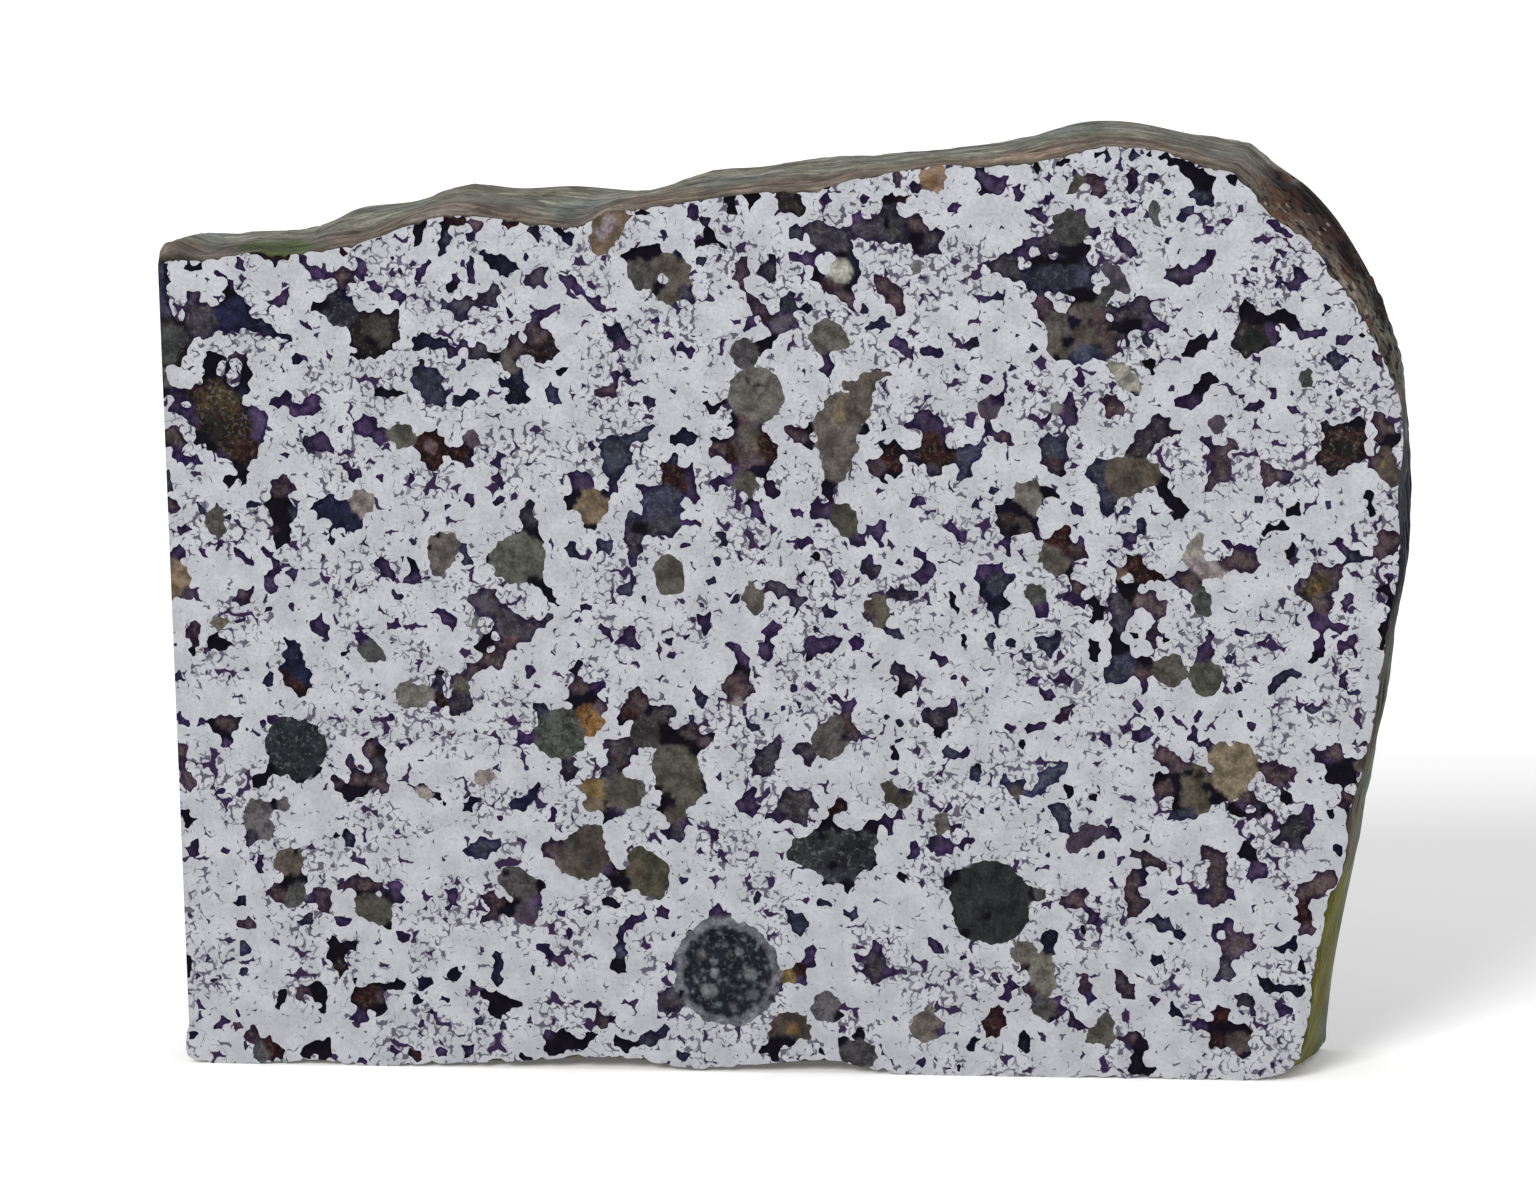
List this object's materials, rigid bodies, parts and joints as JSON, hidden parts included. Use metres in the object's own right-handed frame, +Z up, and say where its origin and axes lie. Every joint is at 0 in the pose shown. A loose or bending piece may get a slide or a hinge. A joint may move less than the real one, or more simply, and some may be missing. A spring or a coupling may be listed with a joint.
{
  "type": "meteorite slice",
  "caption": "Standing slice of a metal-rich chondrite meteorite with a polished front face, a sawn end and a weathered natural edge.",
  "frame": {"origin": "centre of the bounding box's bottom face, on the surface that the slice stands on", "axes": "+X along the slice from its sawn end, +Y through its thickness from the polished face to the cut back, +Z up"},
  "size_m": [0.046, 0.006, 0.0344],
  "materials": {
    "meteorite": "polished"
  },
  "bodies": {
    "root": {"meteorite_slice": "meteorite"}
  },
  "joints": []
}
